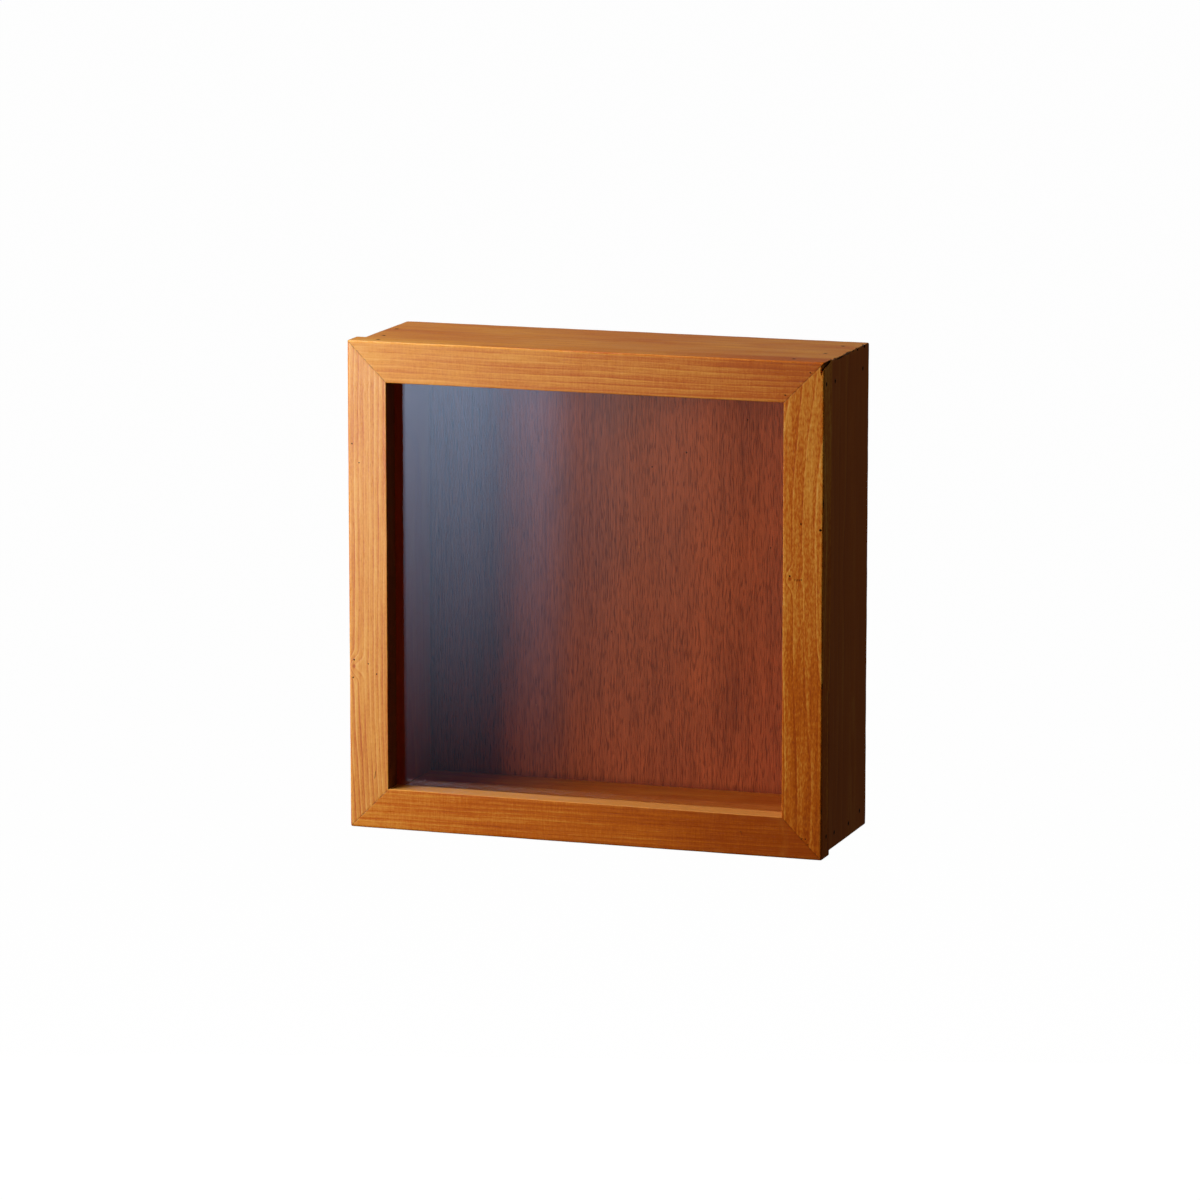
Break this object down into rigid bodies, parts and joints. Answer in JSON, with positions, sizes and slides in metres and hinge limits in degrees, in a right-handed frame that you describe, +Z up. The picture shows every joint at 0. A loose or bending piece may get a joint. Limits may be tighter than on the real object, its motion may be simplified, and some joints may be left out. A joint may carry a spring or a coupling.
{
  "type": "wall mounted showcase",
  "caption": "Shallow square wooden wall case with a glazed mitred frame door on side butt hinges, a plywood back and flush keyhole hangers.",
  "frame": {"origin": "middle of the back, on the wall plane that the case hangs against", "axes": "+Y into the wall, the door faces -Y, +Z up, +X to the right of a person who faces the door"},
  "size_m": [0.3042, 0.1, 0.3],
  "materials": {
    "frame_wood": "orange-brown stained softwood, satin wax",
    "case_wood": "orange-brown stained softwood, satin wax",
    "bead_wood": "stained softwood strip, satin",
    "back_plywood": "lauan plywood, reddish-brown stain, matt",
    "glass": "clear float glass, polished",
    "hinge_brass": "satin brass, a little tarnished",
    "brass_screw": "bright brass",
    "plated_steel": "zinc plated",
    "nickel_magnet": "nickel plated",
    "nail_steel": "darkened steel, punched below the surface"
  },
  "bodies": {
    "case": {"case_top_board": "case_wood", "case_bottom_board": "case_wood", "case_left_board": "case_wood", "case_right_board": "case_wood", "back_panel": "back_plywood", "case_corner_nails": "nail_steel", "back_panel_brads": "nail_steel", "upper_hinge_case_leaf": "hinge_brass", "lower_hinge_case_leaf": "hinge_brass", "upper_hinge_pin": "hinge_brass", "lower_hinge_pin": "hinge_brass", "hinge_case_screws": "brass_screw", "catch_magnets": "nickel_magnet", "catch_magnet_screws": "plated_steel", "keyhole_hanger_left": "plated_steel", "keyhole_hanger_right": "plated_steel", "hanger_screws": "plated_steel"},
    "door": {"door_top_rail": "frame_wood", "door_bottom_rail": "frame_wood", "door_left_stile": "frame_wood", "door_right_stile": "frame_wood", "glass_bead_top": "bead_wood", "glass_bead_bottom": "bead_wood", "glass_bead_left": "bead_wood", "glass_bead_right": "bead_wood", "glass_pane": "glass", "upper_hinge_door_leaf": "hinge_brass", "lower_hinge_door_leaf": "hinge_brass", "hinge_door_screws": "brass_screw", "glass_bead_brads": "brass_screw", "catch_strike_discs": "plated_steel", "catch_strike_screws": "plated_steel", "door_corner_nails": "nail_steel"}
  },
  "joints": [
    {"name": "door_hinge", "type": "hinge", "parent": "case", "child": "door", "pos_m": [-0.1522, -0.083, 0], "axis": [0, 0, -1], "range_deg": [0, 180]}
  ]
}
